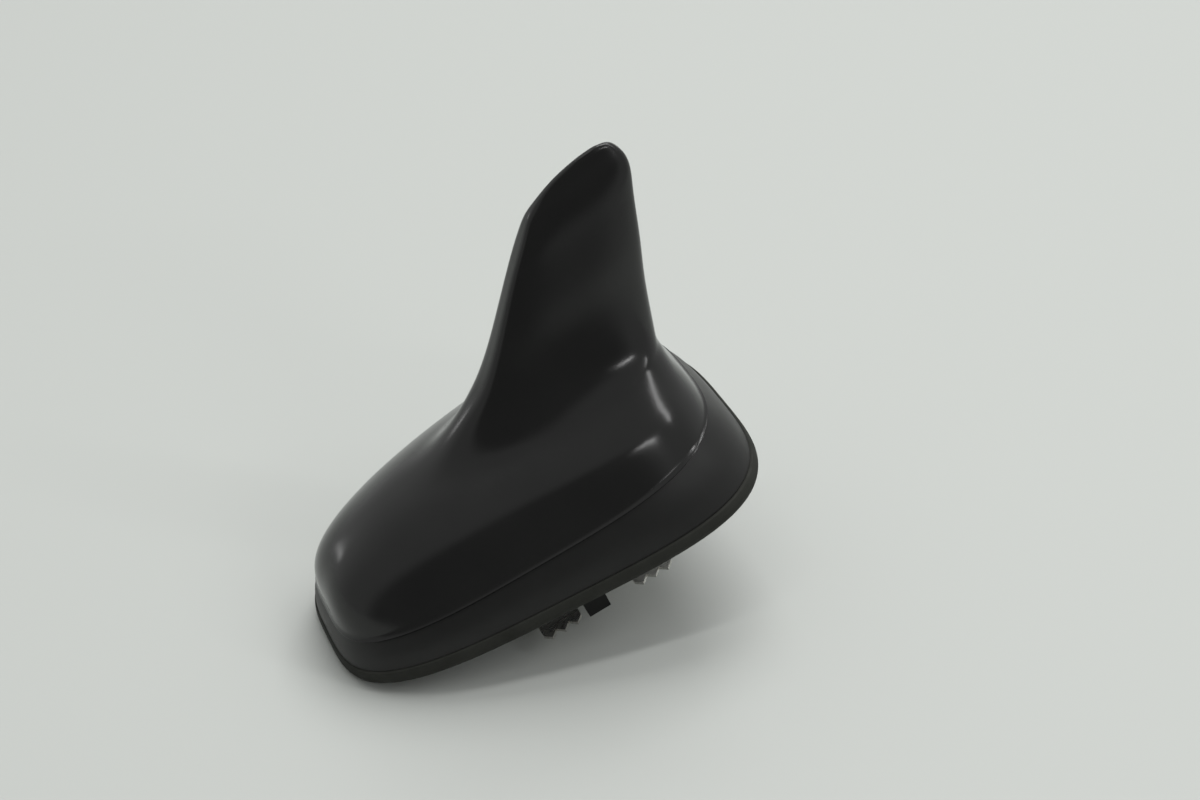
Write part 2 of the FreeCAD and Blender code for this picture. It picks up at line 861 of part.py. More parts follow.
SOCKET_X = f"({DUCT_TAIL} + dims.duct_length / 2)"
SOCKET_BOTTOM = "(dims.socket_recess - dims.tower_depth)"
SOCKET_SIDES = (("left", "dims.socket_pitch / 2"), ("right", "-dims.socket_pitch / 2"))


def make_socket_housing():
    block = box("socket_block", "dims.duct_length - 2 * dims.socket_gap",
                f"2 * ({DUCT_HALF} - dims.socket_gap)", f"{BOARD_BOTTOM} - {SOCKET_BOTTOM}",
                f"{DUCT_TAIL} + dims.socket_gap", f"dims.socket_gap - {DUCT_HALF}", SOCKET_BOTTOM)
    tools = []
    for side, y in SOCKET_SIDES:
        tools.append(cylinder(f"socket_bore_{side}", "dims.socket_bore_radius", "dims.socket_bore_depth",
                              SOCKET_X, y, SOCKET_BOTTOM))
        tools.append(cylinder(f"contact_hole_{side}", "dims.contact_radius",
                              f"{BOARD_BOTTOM} - {SOCKET_BOTTOM}", SOCKET_X, y, SOCKET_BOTTOM))
    return cut("socket_housing", block, tools)


def make_socket_shells():
    shells = []
    for side, y in SOCKET_SIDES:
        sleeve = cylinder(f"shell_sleeve_{side}", "dims.socket_bore_radius", "dims.socket_bore_depth",
                          SOCKET_X, y, SOCKET_BOTTOM)
        bore = cylinder(f"shell_bore_{side}", "dims.socket_bore_radius - dims.shell_wall",
                        "dims.socket_bore_depth", SOCKET_X, y, SOCKET_BOTTOM)
        shells.append(cut(f"shell_{side}", sleeve, [bore]))
    return group("socket_shells", shells)


def make_socket_contacts():
    return group("socket_contacts", [
        cylinder(f"contact_{side}", "dims.contact_radius",
                 f"{BOARD_BOTTOM} - {SOCKET_BOTTOM} - dims.contact_recess",
                 SOCKET_X, y, f"{SOCKET_BOTTOM} + dims.contact_recess")
        for side, y in SOCKET_SIDES
    ])


MAKERS = (
    make_cover,
    make_skirt,
    make_gasket,
    make_seal,
    make_chassis,
    make_claw,
    make_bolt,
    make_clips,
    make_cover_screws,
    make_main_board,
    make_board_screws,
    make_fin_board,
    make_radiator,
    make_header,
    make_header_pins,
    make_pad,
    make_patch,
    make_patch_pin,
    make_can,
    make_chips,
    make_socket_housing,
    make_socket_shells,
    make_socket_contacts,
)


def main():
    fill_sheet()
    nodes = [make() for make in MAKERS]
    doc.recompute()
    for item in doc.Objects:
        if "Invalid" in item.State or "Error" in item.State:
            raise RuntimeError(f"{item.Label} failed: {item.State}")
    for node in nodes:
        if node.Shape.isNull() or not node.Shape.isValid() or not node.Shape.Solids:
            raise RuntimeError(f"{node.Label} has no sound shape")
    os.makedirs("parts", exist_ok=True)
    for node in nodes:
        node.Shape.exportStep(f"parts/{node.Label}.step")
        print(f"{node.Label}: {len(node.Shape.Solids)} solids, {node.Shape.Volume:.1f} mm3")


main()
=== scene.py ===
import json

import bpy
import numpy as np
from mathutils import Matrix, Vector


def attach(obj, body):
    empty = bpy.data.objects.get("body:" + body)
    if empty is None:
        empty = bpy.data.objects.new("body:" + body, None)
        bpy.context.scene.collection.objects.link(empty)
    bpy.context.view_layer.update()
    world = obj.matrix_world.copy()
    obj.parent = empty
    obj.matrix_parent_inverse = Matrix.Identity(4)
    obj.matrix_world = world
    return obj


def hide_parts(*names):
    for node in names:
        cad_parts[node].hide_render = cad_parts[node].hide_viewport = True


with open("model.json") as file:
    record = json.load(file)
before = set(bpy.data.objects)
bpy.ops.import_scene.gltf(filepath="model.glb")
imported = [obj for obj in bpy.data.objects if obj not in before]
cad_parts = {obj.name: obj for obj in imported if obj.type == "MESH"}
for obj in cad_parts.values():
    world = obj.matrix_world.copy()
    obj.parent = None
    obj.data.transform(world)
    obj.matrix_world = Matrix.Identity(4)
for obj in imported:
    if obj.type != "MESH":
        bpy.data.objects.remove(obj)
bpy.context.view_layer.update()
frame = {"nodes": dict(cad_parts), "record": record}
nodes = frame["nodes"]
mm = 0.001
print("frame loaded,", len(nodes), "nodes")


# Shapes. A section is eight numbers in millimetres: reach and rise of the nose and of the tail,
# half width, squareness towards the nose and towards the tail, and how much the nose narrows.

def ringPoints(sections, turn):
    # superellipse in polar form: unit radius (|cos|^n + |sin|^n)^(-1/n), stretched to the
    # section's length and width, narrowed towards the nose and leaned from tail rise to nose rise
    nose, noseRise, tail, tailRise, half, noseSquare, tailSquare, taper = sections.T[:, :, None]
    c, s = np.cos(turn), np.sin(turn)
    square = np.where(c > 0, noseSquare, tailSquare)
    radius = (np.abs(c) ** square + np.abs(s) ** square) ** (-1 / square)
    u, w = radius * c, radius * s
    x = (nose - tail) / 2 + (nose + tail) / 2 * u
    y = half * w * (1 - taper * u)
    z = (noseRise + tailRise) / 2 + (noseRise - tailRise) / 2 * u
    return np.stack([x, y, z], axis=-1) * mm


def throughStations(stations, places):
    # natural cubic spline through the stations, spaced by the chord between neighbours;
    # places run from 0 at the first station to 1 at the last
    gap = np.linalg.norm(np.diff(stations[:, :5], axis=0), axis=1)
    along = np.concatenate([[0.0], np.cumsum(gap)])
    slope = np.diff(stations, axis=0) / gap[:, None]
    count = len(stations)
    system = np.eye(count)
    pull = np.zeros_like(stations)
    inner = np.arange(1, count - 1)
    system[inner, inner - 1] = gap[:-1]
    system[inner, inner] = 2 * (gap[:-1] + gap[1:])
    system[inner, inner + 1] = gap[1:]
    pull[1:-1] = 6 * np.diff(slope, axis=0)
    bend = np.linalg.solve(system, pull)
    spot = np.asarray(places) * along[-1]
    i = np.clip(np.searchsorted(along, spot) - 1, 0, count - 2)
    width = gap[i][:, None]
    b = (spot - along[i])[:, None] / width
    a = 1 - b
    curve = (a ** 3 - a) * bend[i] + (b ** 3 - b) * bend[i + 1]
    return a * stations[i] + b * stations[i + 1] + curve * width ** 2 / 6


def drawIn(sections, by, drop=0.0):
    # every section drawn in by a width inside its own leaning plane, then lowered
    out = np.array(sections, float)
    by = np.broadcast_to(by, len(out))
    lean = (out[:, 1] - out[:, 3]) / (out[:, 0] + out[:, 2])
    out[:, 0] -= by
    out[:, 2] -= by
    out[:, 4] -= by
    out[:, 1] -= lean * by + drop
    out[:, 3] += lean * by - drop
    return out


def climbed(sections):
    # distance from the first section, measured up the flank at half length
    rise = (sections[:, 1] + sections[:, 3]) / 2
    return np.concatenate([[0.0], np.cumsum(np.hypot(np.diff(rise), np.diff(sections[:, 4])))])


def roundOver(sections, radius, fromEnd=False):
    # quarter round at the first (or last) section: at a distance d up the flank the edge
    # is drawn in by r - sqrt(r^2 - (r - d)^2)
    order = sections[::-1] if fromEnd else sections
    short = np.clip(radius - climbed(order), 0, radius)
    done = drawIn(order, radius - np.sqrt(radius ** 2 - short ** 2))
    return done[::-1] if fromEnd else done


def edgePlaces(count, dense=8, share=0.01, bothEnds=False):
    # even steps, with a few close ones where an edge is rounded
    close = np.linspace(0, share, dense)
    if bothEnds:
        return np.concatenate([close, np.linspace(share, 1 - share, count)[1:-1], 1 - close[::-1]])
    return np.concatenate([close, np.linspace(share, 1, count)[1:]])


def gridFaces(rows, columns, wrapRows, start):
    # quads between neighbouring rings; the columns always wrap
    r = np.arange(rows if wrapRows else rows - 1)[:, None]
    c = np.arange(columns)[None, :]
    below, above = r * columns, (r + 1) % rows * columns
    right = (c + 1) % columns
    quads = np.stack([below + c, below + right, above + right, above + c], axis=-1)
    return quads.reshape(-1, 4) + start


def shellPiece(name, grids, sharpAngle=40):
    # each grid is an array of rings; it wraps into a tube, or is closed by a fan at both ends
    points, quads, fans, start = [], [], [], 0
    for grid, wrapRows in grids:
        rows, columns = grid.shape[:2]
        part = [grid.reshape(-1, 3)]
        faces = gridFaces(rows, columns, wrapRows, start)
        corner = part[0][faces - start]
        volume = np.einsum("ij,ij->i", np.cross(corner[:, 0], corner[:, 1]), corner[:, 2]).sum()
        flip = -1 if volume < 0 else 1
        quads.append(faces[:, ::flip])
        if not wrapRows:
            hub = np.full(columns, start + rows * columns)
            part.append(np.stack([grid[0].mean(axis=0), grid[-1].mean(axis=0)]))
            c = np.arange(columns)
            right = (c + 1) % columns
            top = (rows - 1) * columns + start
            fans.append(np.stack([hub, right + start, c + start], axis=-1)[:, ::flip])
            fans.append(np.stack([hub + 1, top + c, top + right], axis=-1)[:, ::flip])
        points += part
        start += sum(len(p) for p in part)
    mesh = bpy.data.meshes.new(name)
    faces = np.concatenate(quads).tolist()
    for fan in fans:
        faces += fan.tolist()
    mesh.from_pydata(np.concatenate(points).tolist(), [], faces)
    mesh.polygons.foreach_set("use_smooth", np.ones(len(faces), bool))
    mesh.set_sharp_from_angle(angle=np.radians(sharpAngle))
    mesh.update()
    piece = bpy.data.objects.new(name, mesh)
    bpy.context.scene.collection.objects.link(piece)
    return piece


def stand(piece, slot, material, *replaced):
    # puts a made piece on the one body, with its finish, in place of the solids it replaces
    piece.data.materials.append(material)
    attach(piece, "root")
    if replaced:
        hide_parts(*replaced)
    print("made", piece.name, len(piece.data.polygons), "faces")
    return piece


# Finishes

def newMaterial(name):
    material = bpy.data.materials.new(name)
    material.use_nodes = True
    tree = material.node_tree
    tree.nodes.clear()
    output = tree.nodes.new("ShaderNodeOutputMaterial")
    shader = tree.nodes.new("ShaderNodeBsdfPrincipled")
    tree.links.new(shader.outputs["BSDF"], output.inputs["Surface"])
    coords = tree.nodes.new("ShaderNodeTexCoord").outputs["Object"]
    return material, tree, shader, coords


def noiseNode(tree, coords, scale, detail=3.0, rough=0.55, stretch=None):
    if stretch is not None:
        turnTo = tree.nodes.new("ShaderNodeMapping")
        turnTo.inputs["Scale"].default_value = stretch
        tree.links.new(coords, turnTo.inputs["Vector"])
        coords = turnTo.outputs["Vector"]
    noise = tree.nodes.new("ShaderNodeTexNoise")
    noise.inputs["Scale"].default_value = scale
    noise.inputs["Detail"].default_value = detail
    noise.inputs["Roughness"].default_value = rough
    tree.links.new(coords, noise.inputs["Vector"])
    return noise.outputs["Fac"]


def spread(tree, value, low, high, fromLow=0.3, fromHigh=0.7):
    # the value's usual span brought to low..high
    node = tree.nodes.new("ShaderNodeMapRange")
    node.inputs["From Min"].default_value = fromLow
    node.inputs["From Max"].default_value = fromHigh
    node.inputs["To Min"].default_value = low
    node.inputs["To Max"].default_value = high
    tree.links.new(value, node.inputs["Value"])
    return node.outputs["Result"]


def tones(tree, value, dark, light):
    mix = tree.nodes.new("ShaderNodeMix")
    mix.data_type = "RGBA"
    mix.inputs["A"].default_value = (*dark, 1)
    mix.inputs["B"].default_value = (*light, 1)
    tree.links.new(value, mix.inputs["Factor"])
    return mix.outputs["Result"]


def bumped(tree, shader, heights, distance):
    # several heights added, in millimetres of relief
    total = heights[0]
    for more in heights[1:]:
        add = tree.nodes.new("ShaderNodeMath")
        add.operation = "ADD"
        tree.links.new(total, add.inputs[0])
        tree.links.new(more, add.inputs[1])
        total = add.outputs[0]
    bump = tree.nodes.new("ShaderNodeBump")
    bump.inputs["Strength"].default_value = 1.0
    bump.inputs["Distance"].default_value = distance * mm
    tree.links.new(total, bump.inputs["Height"])
    tree.links.new(bump.outputs["Normal"], shader.inputs["Normal"])


def mouldedFinish(name, look):
    # moulded plastic or rubber: two close tones in soft patches, an even fine grain, and
    # patches where handling has polished or dulled it
    material, tree, shader, coords = newMaterial(name)
    patches = spread(tree, noiseNode(tree, coords, look["patchScale"]), 0, 1)
    tree.links.new(tones(tree, patches, look["dark"], look["light"]), shader.inputs["Base Color"])
    wear = noiseNode(tree, coords, look["wearScale"], detail=5.0)
    tree.links.new(spread(tree, wear, *look["roughness"]), shader.inputs["Roughness"])
    shader.inputs["IOR"].default_value = look["ior"]
    shader.inputs["Specular IOR Level"].default_value = look["mirror"]
    grain = noiseNode(tree, coords, look["grainScale"], detail=2.0)
    ripple = noiseNode(tree, coords, look["rippleScale"], detail=1.0)
    bumped(tree, shader, [spread(tree, grain, 0, look["grainHeight"], 0, 1),
                          spread(tree, ripple, 0, look["rippleHeight"], 0, 1)], 1.0)
    return material


def metalFinish(name, look):
    # metal: fine lines stretched along one axis, slow stains, and a little relief
    material, tree, shader, coords = newMaterial(name)
    stains = spread(tree, noiseNode(tree, coords, look["stainScale"], detail=5.0), 0, 1)
    tree.links.new(tones(tree, stains, look["dark"], look["light"]), shader.inputs["Base Color"])
    lines = noiseNode(tree, coords, look["lineScale"], stretch=look["stretch"])
    tree.links.new(spread(tree, lines, *look["roughness"]), shader.inputs["Roughness"])
    shader.inputs["Metallic"].default_value = 1.0
    bumped(tree, shader, [spread(tree, lines, 0, look["lineHeight"], 0, 1)], 1.0)
    return material


# Cover: one moulding from the rim to the tip of the fin

cover = {
    # nose, nose rise, tail, tail rise, half, nose square, tail square, taper
    "rim": (51.7, 10.0, 43.7, 17.0, 26.6, 3.6, 3.0, 0.17),
    "wall": (50.4, 15.2, 42.9, 20.4, 24.4, 3.4, 3.0, 0.19),
    "shoulder": (47.2, 20.2, 42.0, 23.6, 22.4, 2.9, 2.9, 0.21),
    "crown": (39.5, 25.0, 41.3, 26.4, 19.6, 2.6, 2.7, 0.25),
    "saddle": (29.0, 28.8, 40.8, 30.4, 14.6, 2.3, 2.5, 0.25),
    "root": (16.0, 32.0, 40.8, 32.8, 11.8, 2.3, 2.5, 0.22),
    "neck": (5.0, 38.0, 41.8, 37.0, 8.2, 2.5, 2.8, 0.10),
    "blade": (-2.0, 43.6, 43.7, 46.0, 5.9, 3.4, 3.2, 0.04),
    "middle": (-11.0, 54.8, 46.6, 57.5, 4.7, 3.8, 3.6, 0.08),
    "upper": (-18.8, 65.5, 49.5, 69.5, 3.8, 4.2, 4.0, 0.06),
    "knee": (-24.2, 72.4, 50.8, 75.6, 3.2, 4.2, 4.0, 0.05),
    "brow": (-26.4, 74.9, 50.6, 77.6, 2.6, 3.8, 3.8, 0.05),
    "edge": (-29.3, 77.0, 49.7, 79.7, 1.7, 3.4, 3.4, 0.05),
    "crest": (-34.5, 79.6, 48.2, 81.2, 1.0, 3.0, 3.0, 0.05),
    "top": (-40.0, 81.2, 46.0, 81.8, 0.5, 2.8, 2.8, 0.05),
}
coverBuild = {
    "columns": 220,
    "rows": 240,
    "lipRows": 16,
    "innerRows": 60,
    "wall": 2.2,
    "hollowStations": 10,  # the fin is solid above these
    "lipRadius": 0.25,
    "lipFlare": 0.5,
    "lipRun": 1.2,
    "grooveHeight": 0.3,
    "grooveDepth": 0.9,
}
coverLook = {
    "dark": (0.0078, 0.0077, 0.0077),
    "light": (0.0106, 0.0106, 0.0103),
    "patchScale": 45,
    "wearScale": 70,
    "roughness": (0.14, 0.20),
    "ior": 1.46,
    "mirror": 0.5,
    "grainScale": 5200,
    "grainHeight": 0.004,
    "rippleScale": 160,
    "rippleHeight": 0.006,
}

turn = np.linspace(0, 2 * np.pi, coverBuild["columns"], endpoint=False)
stations = np.array(list(cover.values()))
rim = stations[:1]
seam = drawIn(rim, 0.0, coverBuild["grooveHeight"])


def makeCover():
    # hollow top, inner wall, neck under the groove, lip, outer wall, tip: one run of rings
    build = coverBuild
    outer = throughStations(stations, edgePlaces(build["rows"], build["lipRows"]))
    # the lip flares out by f * (1 - d / run)^2 at a distance d above the rim
    short = np.clip(1 - climbed(outer) / build["lipRun"], 0, 1)
    outer = roundOver(drawIn(outer, -build["lipFlare"] * short ** 2), build["lipRadius"])
    underLip = np.linspace(build["grooveDepth"], build["lipRadius"], 4)[:-1]
    lip = drawIn(np.repeat(rim, len(underLip), axis=0), underLip)
    neck = np.concatenate([drawIn(seam, build["wall"]), drawIn(seam, build["grooveDepth"])])
    rise = (stations[:, 1] + stations[:, 3]) / 2
    climb = np.gradient(rise)
    narrowing = -np.gradient(stations[:, 4])
    flank = np.hypot(climb, narrowing)
    hollow = drawIn(stations, build["wall"] * climb / flank, build["wall"] * narrowing / flank)
    inner = throughStations(hollow[:build["hollowStations"]], np.linspace(1, 0, build["innerRows"]))
    return ringPoints(np.concatenate([inner, neck, lip, outer]), turn)


coverBlack = mouldedFinish("coverBlack", coverLook)
stand(shellPiece("finCover", [(makeCover(), False)]), "cover_black", coverBlack, "fin_cover")


# Gasket: a rubber ring with a bowed edge and one moulding pip

gasket = {
    "nose": 55.4,
    "tail": 49.3,
    "half": 31.0,
    "noseSquare": 3.6,
    "tailSquare": 3.5,
    "taper": 0.17,
    "height": 3.7,
    "crown": 1.6,
    "draft": 0.5,
    "ring": 13.5,
    "rows": 30,
    "edgeRows": 8,
    "edgeShare": 0.12,
    "lowerRound": 0.5,
    "upperRound": 0.25,
    "pipRings": 8,
    "pipSpokes": 24,
    "pipTail": 42.0,
    "pipRadius": 0.9,
    "pipReach": 1.0,
}
gasketLook = {
    "dark": (0.0205, 0.0212, 0.0182),
    "light": (0.0285, 0.0295, 0.0254),
    "patchScale": 120,
    "wearScale": 260,
    "roughness": (0.62, 0.85),
    "ior": 1.42,
    "mirror": 0.25,
    "grainScale": 3800,
    "grainHeight": 0.012,
    "rippleScale": 420,
    "rippleHeight": 0.03,
}


def baseSection(height):
    return np.array([[gasket["nose"], height, gasket["tail"], height, gasket["half"],
                      gasket["noseSquare"], gasket["tailSquare"], gasket["taper"]]])


def makeGasket():
    stack = np.concatenate([
        drawIn(baseSection(0.0), gasket["draft"]),
        baseSection(gasket["crown"]),
        drawIn(baseSection(gasket["height"]), gasket["draft"]),
    ])
    places = edgePlaces(gasket["rows"], gasket["edgeRows"], gasket["edgeShare"], bothEnds=True)
    bowed = throughStations(stack, places)
    outer = roundOver(roundOver(bowed, gasket["lowerRound"]), gasket["upperRound"], fromEnd=True)
    inner = drawIn(np.concatenate([baseSection(gasket["height"]), baseSection(0.0)]), gasket["ring"])
    return ringPoints(np.concatenate([outer, inner]), turn)


def makePip():
    # a round stub on the gasket's edge near the tail: rings along -Y with a domed end
    middle = (gasket["nose"] - gasket["tail"]) / 2
    u = -(gasket["pipTail"] + middle) / ((gasket["nose"] + gasket["tail"]) / 2)
    square = gasket["tailSquare"]
    edge = gasket["half"] * (1 - abs(u) ** square) ** (1 / square) * (1 - gasket["taper"] * u)
    swing = np.linspace(0, np.pi / 2, gasket["pipRings"])
    radius = gasket["pipRadius"] * np.concatenate([[1.0], np.cos(swing[:-1])])
    reach = gasket["pipReach"] * np.concatenate([[-1.0], np.sin(swing[:-1])])
    a = np.linspace(0, 2 * np.pi, gasket["pipSpokes"], endpoint=False)
    x = -gasket["pipTail"] + radius[:, None] * np.cos(a)
    z = gasket["crown"] + radius[:, None] * np.sin(a)
    y = np.repeat(-(edge + reach)[:, None], len(a), axis=1)
    return np.stack([x, y, z], axis=-1) * mm


# Skirt: a bowed ring from the gasket to the sloping seam

skirt = {
    "step": 0.9,
    "wall": 2.4,
    "bulge": 0.5,
    "rows": 40,
    "edgeRows": 8,
    "edgeShare": 0.04,
    "edgeRound": 0.3,
    "innerEvery": 4,  # the inside takes one ring in four
}
skirtLook = {
    "dark": (0.0070, 0.0070, 0.0068),
    "light": (0.0095, 0.0095, 0.0091),
    "patchScale": 60,
    "wearScale": 90,
    "roughness": (0.38, 0.48),
    "ior": 1.45,
    "mirror": 0.45,
    "grainScale": 4600,
    "grainHeight": 0.006,
    "rippleScale": 150,
    "rippleHeight": 0.004,
}


def makeSkirt():
    foot = drawIn(baseSection(gasket["height"]), skirt["step"])
    waist = drawIn((foot + seam) / 2, -skirt["bulge"])
    places = edgePlaces(skirt["rows"], skirt["edgeRows"], skirt["edgeShare"], bothEnds=True)
    bowed = throughStations(np.concatenate([foot, waist, seam]), places)
    outer = roundOver(roundOver(bowed, skirt["edgeRound"]), skirt["edgeRound"], fromEnd=True)
    inner = drawIn(bowed, skirt["wall"])[::-skirt["innerEvery"]]
    return ringPoints(np.concatenate([outer, inner]), turn)


skirtBlack = mouldedFinish("skirtBlack", skirtLook)
stand(shellPiece("baseSkirt", [(makeSkirt(), True)]), "skirt_black", skirtBlack, "base_skirt")
gasketRubber = mouldedFinish("gasketRubber", gasketLook)
gasketShell = shellPiece("roofGasket", [(makeGasket(), True), (makePip(), False)])
stand(gasketShell, "gasket_rubber", gasketRubber, "roof_gasket")


# Pieces that keep their solid: only the finish is new

plasticLooks = {
    "clip_black": {"dark": (0.006, 0.006, 0.006), "light": (0.011, 0.011, 0.011),
                   "roughness": (0.42, 0.55)},
    "seal_rubber": {"dark": (0.012, 0.012, 0.012), "light": (0.020, 0.020, 0.020),
                    "roughness": (0.7, 0.85)},
    "board_laminate": {"dark": (0.012, 0.075, 0.030), "light": (0.018, 0.105, 0.042),
                       "roughness": (0.30, 0.42)},
    "header_black": {"dark": (0.008, 0.008, 0.008), "light": (0.012, 0.012, 0.012),
                     "roughness": (0.4, 0.5)},
    "patch_ceramic": {"dark": (0.42, 0.39, 0.33), "light": (0.52, 0.49, 0.43),
                      "roughness": (0.5, 0.65)},
    "pad_foam": {"dark": (0.05, 0.05, 0.05), "light": (0.08, 0.08, 0.08),
                 "roughness": (0.8, 0.95)},
    "chip_black": {"dark": (0.008, 0.008, 0.009), "light": (0.014, 0.014, 0.015),
                   "roughness": (0.45, 0.6)},
    "socket_grey": {"dark": (0.035, 0.036, 0.038), "light": (0.050, 0.051, 0.054),
                    "roughness": (0.42, 0.55)},
}
plasticGrain = {
    "patchScale": 150,
    "wearScale": 320,
    "ior": 1.47,
    "mirror": 0.25,
    "grainScale": 4200,
    "grainHeight": 0.006,
    "rippleScale": 500,
    "rippleHeight": 0.006,
}
metalLooks = {
    "cast_metal": {"dark": (0.34, 0.34, 0.35), "light": (0.52, 0.52, 0.53), "roughness": (0.42, 0.62),
                   "stretch": (1, 1, 1), "lineHeight": 0.03},
    "claw_steel": {"dark": (0.36, 0.35, 0.33), "light": (0.58, 0.57, 0.54), "roughness": (0.22, 0.38),
                   "stretch": (0.08, 1, 1), "lineHeight": 0.004},
    "bolt_steel": {"dark": (0.42, 0.42, 0.40), "light": (0.62, 0.62, 0.60), "roughness": (0.24, 0.40),
                   "stretch": (1, 1, 0.2), "lineHeight": 0.005},
    "screw_steel": {"dark": (0.40, 0.40, 0.40), "light": (0.56, 0.56, 0.56), "roughness": (0.25, 0.40),
                    "stretch": (1, 1, 0.2), "lineHeight": 0.004},
    "copper": {"dark": (0.52, 0.23, 0.12), "light": (0.68, 0.33, 0.19), "roughness": (0.30, 0.45),
               "stretch": (0.1, 1, 1), "lineHeight": 0.003},
    "pin_gold": {"dark": (0.66, 0.45, 0.16), "light": (0.80, 0.58, 0.25), "roughness": (0.20, 0.32),
                 "stretch": (1, 1, 0.2), "lineHeight": 0.002},
    "can_tin": {"dark": (0.52, 0.52, 0.52), "light": (0.68, 0.68, 0.68), "roughness": (0.25, 0.42),
                "stretch": (0.1, 1, 1), "lineHeight": 0.004},
}
metalGrain = {"stainScale": 180, "lineScale": 2600}

shownSlots = {row["node"]: row["material_slot"] for row in frame["record"]["subparts"]}
finishes = {slot: mouldedFinish(slot, {**plasticGrain, **look}) for slot, look in plasticLooks.items()}
finishes.update({slot: metalFinish(slot, {**metalGrain, **look}) for slot, look in metalLooks.items()})
for nodeName, slotName in shownSlots.items():
    if slotName in finishes:
        nodes[nodeName].material_slots[0].material = finishes[slotName]
print("finishes set on", len(finishes), "slots")


# Stage: the antenna lies nose down, on the gasket's front edge and the head of the clamp bolt

rest = {
    "noseFoot": 54.9,
    "boltFoot": 13.1,
    "boltDrop": 14.8,
    "clearance": 0.15,
}
floorLook = {
    "radius": 900,
    "fadeFrom": 850,
    "fadeTo": 895,
    "setBack": 740,
    "rings": 16,
    "spokes": 72,
    "roughness": 0.6,
    "color": (0.49, 0.507, 0.486),
    "backdrop": (0.58, 0.60, 0.575),
}
nearSide = Vector((0.37, 0.93, 0.0))  # to the camera's side, in the floor's own frame
tilt = np.arctan2(rest["boltDrop"], rest["noseFoot"] - rest["boltFoot"])
floorTurn = Matrix.Rotation(-tilt, 4, "Y")
floorUp = floorTurn @ Vector((0, 0, 1))
floorMiddle = (Vector((rest["noseFoot"], 0, 0)) - floorUp * rest["clearance"]
               - floorTurn @ Vector((rest["noseFoot"], 0, 0))) * mm


def makeFloor():
    # a disc in the plane the antenna lies on, set back so that it ends in front of the camera:
    # rings round its middle, a fan inside the first
    count = floorLook["rings"], floorLook["spokes"]
    radius = np.linspace(0, floorLook["radius"], count[0] + 1)[1:, None] * mm
    a = np.linspace(0, 2 * np.pi, count[1], endpoint=False)
    flat = np.stack([radius * np.cos(a), radius * np.sin(a), np.zeros(count)], axis=-1).reshape(-1, 3)
    mesh = bpy.data.meshes.new("floor")
    quads = gridFaces(*count, False, 0)[:, ::-1].tolist()
    mesh.from_pydata(flat.tolist(), [], quads + [list(range(count[1]))])
    floor = bpy.data.objects.new("floor", mesh)
    bpy.context.scene.collection.objects.link(floor)
    setBack = nearSide * -floorLook["setBack"] * mm
    floor.matrix_world = Matrix.Translation(floorMiddle) @ floorTurn @ Matrix.Translation(setBack)
    material, tree, shader, coords = newMaterial("floorPaint")
    shader.inputs["Base Color"].default_value = (*floorLook["color"], 1)
    shader.inputs["Roughness"].default_value = floorLook["roughness"]
    length = tree.nodes.new("ShaderNodeVectorMath")
    length.operation = "LENGTH"
    tree.links.new(coords, length.inputs[0])
    fadeSpan = floorLook["fadeFrom"] * mm, floorLook["fadeTo"] * mm
    fade = spread(tree, length.outputs["Value"], 0, 1, *fadeSpan)
    behind = tree.nodes.new("ShaderNodeNewGeometry").outputs["Backfacing"]
    most = tree.nodes.new("ShaderNodeMath")
    most.operation = "MAXIMUM"
    tree.links.new(fade, most.inputs[0])
    tree.links.new(behind, most.inputs[1])
    clear = tree.nodes.new("ShaderNodeBsdfTransparent")
    blend = tree.nodes.new("ShaderNodeMixShader")
    tree.links.new(most.outputs[0], blend.inputs["Fac"])
    tree.links.new(shader.outputs["BSDF"], blend.inputs[1])
    tree.links.new(clear.outputs["BSDF"], blend.inputs[2])
    output = next(n for n in tree.nodes if n.type == "OUTPUT_MATERIAL")
    tree.links.new(blend.outputs["Shader"], output.inputs["Surface"])
    mesh.materials.append(material)


# Room: each stop is the cosine of the angle to the near side and the grey there
worldLook = {
    "stops": {-0.20: 0.66, 0.25: 0.46, 0.66: 0.46, 0.80: 0.16},
    "tint": (0.99, 1.005, 0.99),
}


def makeWorld():
    # to the eye a pale backdrop; as light, a room that is brightest on the far side and dark
    # round the camera
    world = bpy.data.worlds.new("room")
    bpy.context.scene.world = world
    world.use_nodes = True
    tree = world.node_tree
    tree.nodes.clear()
    output = tree.nodes.new("ShaderNodeOutputWorld")
    seen = tree.nodes.new("ShaderNodeBackground")
    seen.inputs["Color"].default_value = (*floorLook["backdrop"], 1)
    dot = tree.nodes.new("ShaderNodeVectorMath")
    dot.operation = "DOT_PRODUCT"
    dot.inputs[1].default_value = floorTurn @ nearSide
    tree.links.new(tree.nodes.new("ShaderNodeTexCoord").outputs["Generated"], dot.inputs[0])
    shades = tree.nodes.new("ShaderNodeValToRGB")
    marks = shades.color_ramp.elements
    while len(marks) < len(worldLook["stops"]):
        marks.new(0.5)
    for stop, (cosine, grey) in zip(marks, worldLook["stops"].items()):
        stop.position = (1 + cosine) / 2
        stop.color = (*(grey * np.array(worldLook["tint"])), 1)
    tree.links.new(spread(tree, dot.outputs["Value"], 0, 1, -1, 1), shades.inputs["Fac"])
    light = tree.nodes.new("ShaderNodeBackground")
    tree.links.new(shades.outputs["Color"], light.inputs["Color"])
    path = tree.nodes.new("ShaderNodeLightPath")
    mix = tree.nodes.new("ShaderNodeMixShader")
    tree.links.new(path.outputs["Is Camera Ray"], mix.inputs["Fac"])
    tree.links.new(light.outputs["Background"], mix.inputs[1])
    tree.links.new(seen.outputs["Background"], mix.inputs[2])
    tree.links.new(mix.outputs["Shader"], output.inputs["Surface"])


makeFloor()
makeWorld()

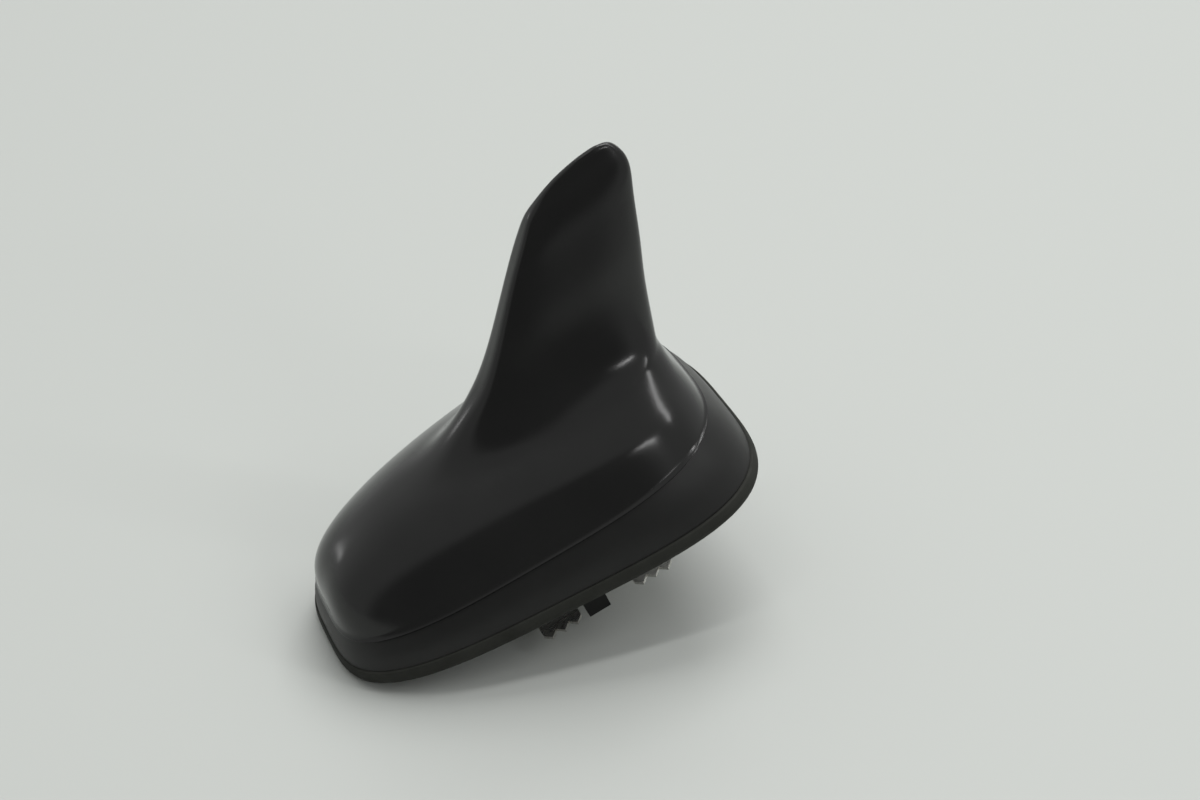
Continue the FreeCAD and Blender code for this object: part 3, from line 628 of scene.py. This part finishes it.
# Lamps: direction from the antenna and run of the long side in the floor's own frame, metres
lamps = {
    "tubeOver": {"toward": (-0.10, 0.07, 0.99), "along": (1, 0, 0),
                 "size": (2.0, 0.09), "power": 7},
    "panelFar": {"toward": (-0.28, -0.38, 0.88), "along": (1, 0, 0),
                 "size": (1.0, 0.8), "power": 13},
    "tubeBack": {"toward": (-0.49, 0.43, 0.76), "along": (0.66, 0.75, 0),
                 "size": (0.08, 1.0), "power": 3.6},
    "tubeSide": {"toward": (-0.24, 0.82, 0.52), "along": (0.96, -0.28, 0),
                 "size": (0.42, 0.04), "power": 1.5},
    "tubeFar": {"toward": (0.69, -0.71, 0.14), "along": (0.71, 0.69, 0),
                "size": (0.2, 0.10), "power": 0.25},
}
lampDistance = 1.7


def makeLamps():
    for name, lamp in lamps.items():
        data = bpy.data.lights.new(name, "AREA")
        data.shape = "RECTANGLE"
        data.size, data.size_y = lamp["size"]
        data.energy = lamp["power"]
        item = bpy.data.objects.new(name, data)
        bpy.context.scene.collection.objects.link(item)
        back = (floorTurn @ Vector(lamp["toward"])).normalized()
        run = floorTurn @ Vector(lamp["along"])
        side = back.cross(run).normalized()
        turned = Matrix((side.cross(back), side, back)).transposed().to_4x4()
        item.matrix_world = Matrix.Translation(floorMiddle + back * lampDistance) @ turned


makeLamps()

# Camera: the photograph's view, solved in the antenna's own frame
view = {
    "azimuth": 173.116,
    "elevation": 40.717,
    "roll": -26.153,
    "distance": 500.132,
    "originPixel": (543.192, 518.319),
    "focalPixels": 2200,
    "imagePixels": (1200, 800),
    "sensor": 36.0,
    "clipStart": 0.01,
}


def makeCamera():
    az, el, roll = np.radians([view["azimuth"], view["elevation"], view["roll"]])
    back = np.array([np.sin(az) * np.cos(el), -np.cos(az) * np.cos(el), np.sin(el)])
    level = np.array([np.cos(az), np.sin(az), 0.0])
    upright = np.cross(back, level)
    right = np.cos(roll) * level + np.sin(roll) * upright
    up = -np.sin(roll) * level + np.cos(roll) * upright
    width, height = view["imagePixels"]
    scale = view["distance"] / view["focalPixels"]
    u, v = view["originPixel"]
    at = back * view["distance"] - right * (u - width / 2) * scale + up * (v - height / 2) * scale
    data = bpy.data.cameras.new("photoView")
    data.sensor_fit = "HORIZONTAL"
    data.sensor_width = view["sensor"]
    data.lens = view["focalPixels"] / width * view["sensor"]
    data.clip_start = view["clipStart"]
    camera = bpy.data.objects.new("photoView", data)
    bpy.context.scene.collection.objects.link(camera)
    pose = Matrix.Identity(4)
    for column, axis in enumerate((right, up, back, at * mm)):
        for row in range(3):
            pose[row][column] = axis[row]
    camera.matrix_world = pose
    bpy.context.scene.camera = camera


makeCamera()
bpy.context.scene.view_settings.view_transform = "Standard"
print("stage, lamps and camera set")
